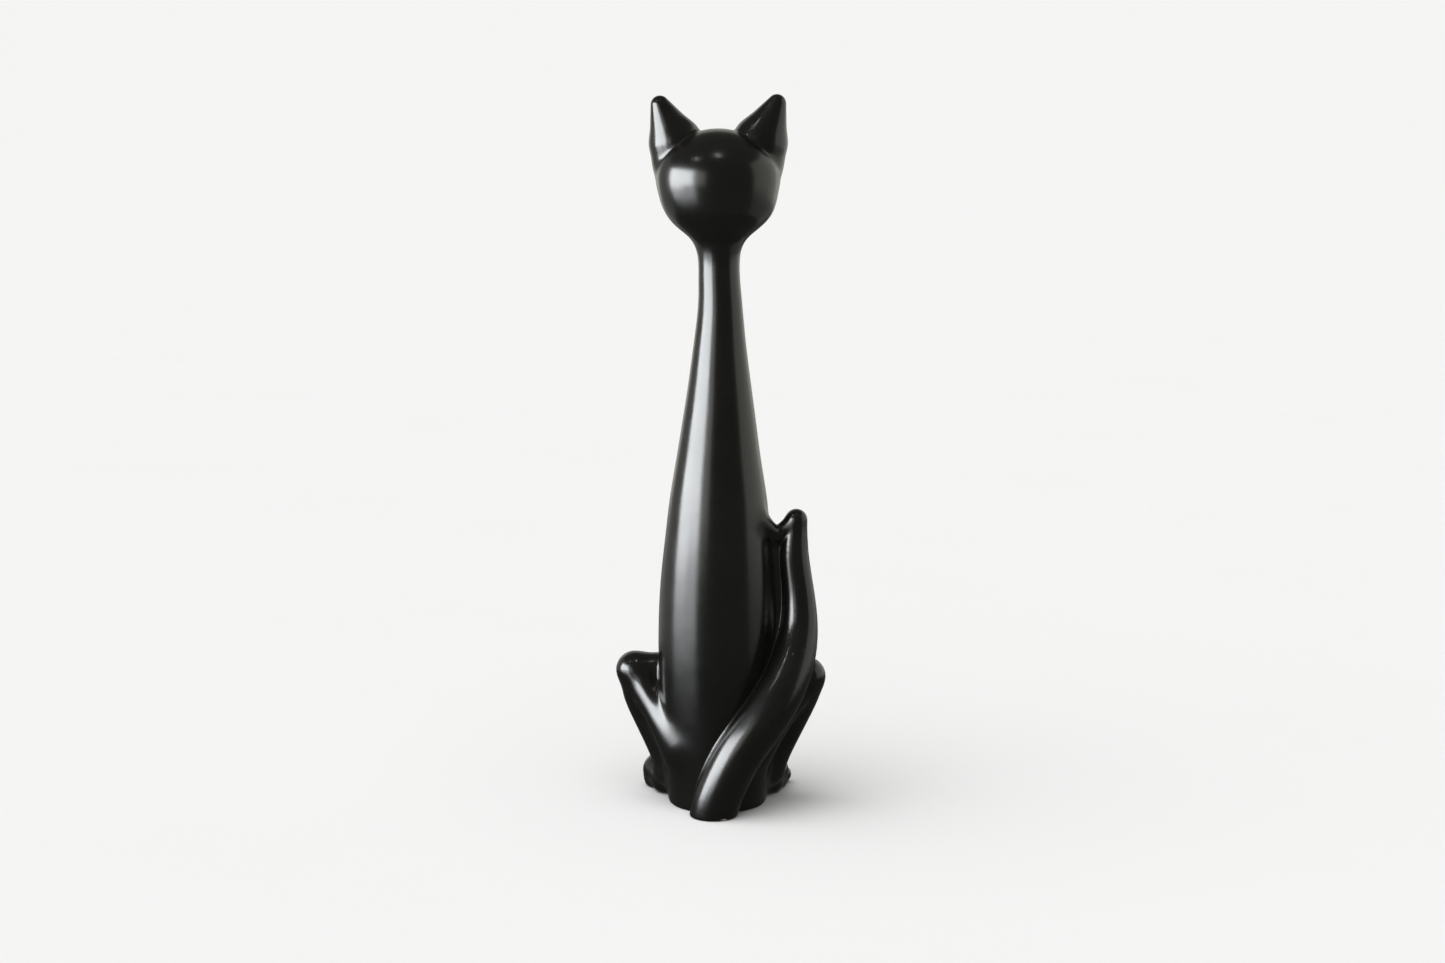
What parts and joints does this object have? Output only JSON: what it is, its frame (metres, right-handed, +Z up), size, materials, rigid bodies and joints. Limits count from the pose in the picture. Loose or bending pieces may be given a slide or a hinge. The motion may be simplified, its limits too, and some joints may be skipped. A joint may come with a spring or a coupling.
{
  "type": "cat figurine",
  "caption": "Tall long-necked sitting cat in black glazed ceramic, hollow cast, with its tail curled up its right side.",
  "frame": {"origin": "middle of the footprint on the table, under the torso", "axes": "+Z up, the cat faces -Y, its left is +X and its tail lies on its right, -X"},
  "size_m": [0.0988, 0.0791, 0.325],
  "materials": {
    "glaze": "black satin gloss glaze, even over the whole figure",
    "bisque": "bare fired clay, matte, beige"
  },
  "bodies": {
    "root": {"torso_shell": "glaze", "head_shell": "glaze", "left_ear": "glaze", "right_ear": "glaze", "left_haunch": "glaze", "right_haunch": "glaze", "left_hind_foot": "glaze", "right_hind_foot": "glaze", "left_foreleg": "glaze", "right_foreleg": "glaze", "tail": "glaze", "base_disc": "bisque"}
  },
  "joints": []
}
